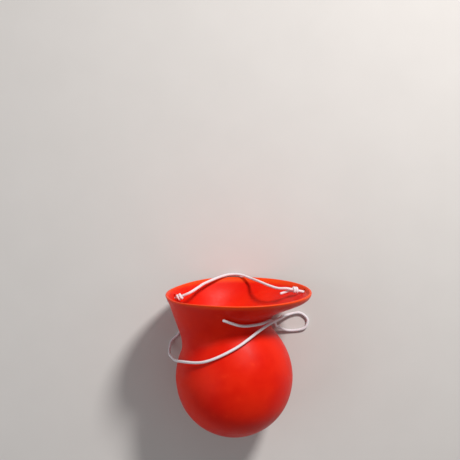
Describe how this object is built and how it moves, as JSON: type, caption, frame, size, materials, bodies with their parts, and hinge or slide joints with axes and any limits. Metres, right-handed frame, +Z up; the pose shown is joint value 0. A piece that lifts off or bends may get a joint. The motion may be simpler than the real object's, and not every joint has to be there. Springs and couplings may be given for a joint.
{
  "type": "clown nose",
  "caption": "Soft hollow ball nose with a flared collar that sits over the wearer's nose, and an elastic cord through the collar.",
  "frame": {"origin": "bottom centre of the nose as it lies on a table, below the middle of its outline", "axes": "+Z up from the table, +Y along the nose from the ball to the open collar, +X across it"},
  "size_m": [0.0701, 0.0773, 0.0679],
  "materials": {
    "vinyl": "soft satin red vinyl",
    "elastic": "round braided white elastic",
    "plastic": "plain moulded off-white plastic"
  },
  "bodies": {
    "root": {"nose_shell": "vinyl", "squeaker": "plastic", "knot_right": "elastic", "knot_left": "elastic", "cord_end_bead": "elastic", "elastic_cord": "elastic"}
  },
  "joints": []
}
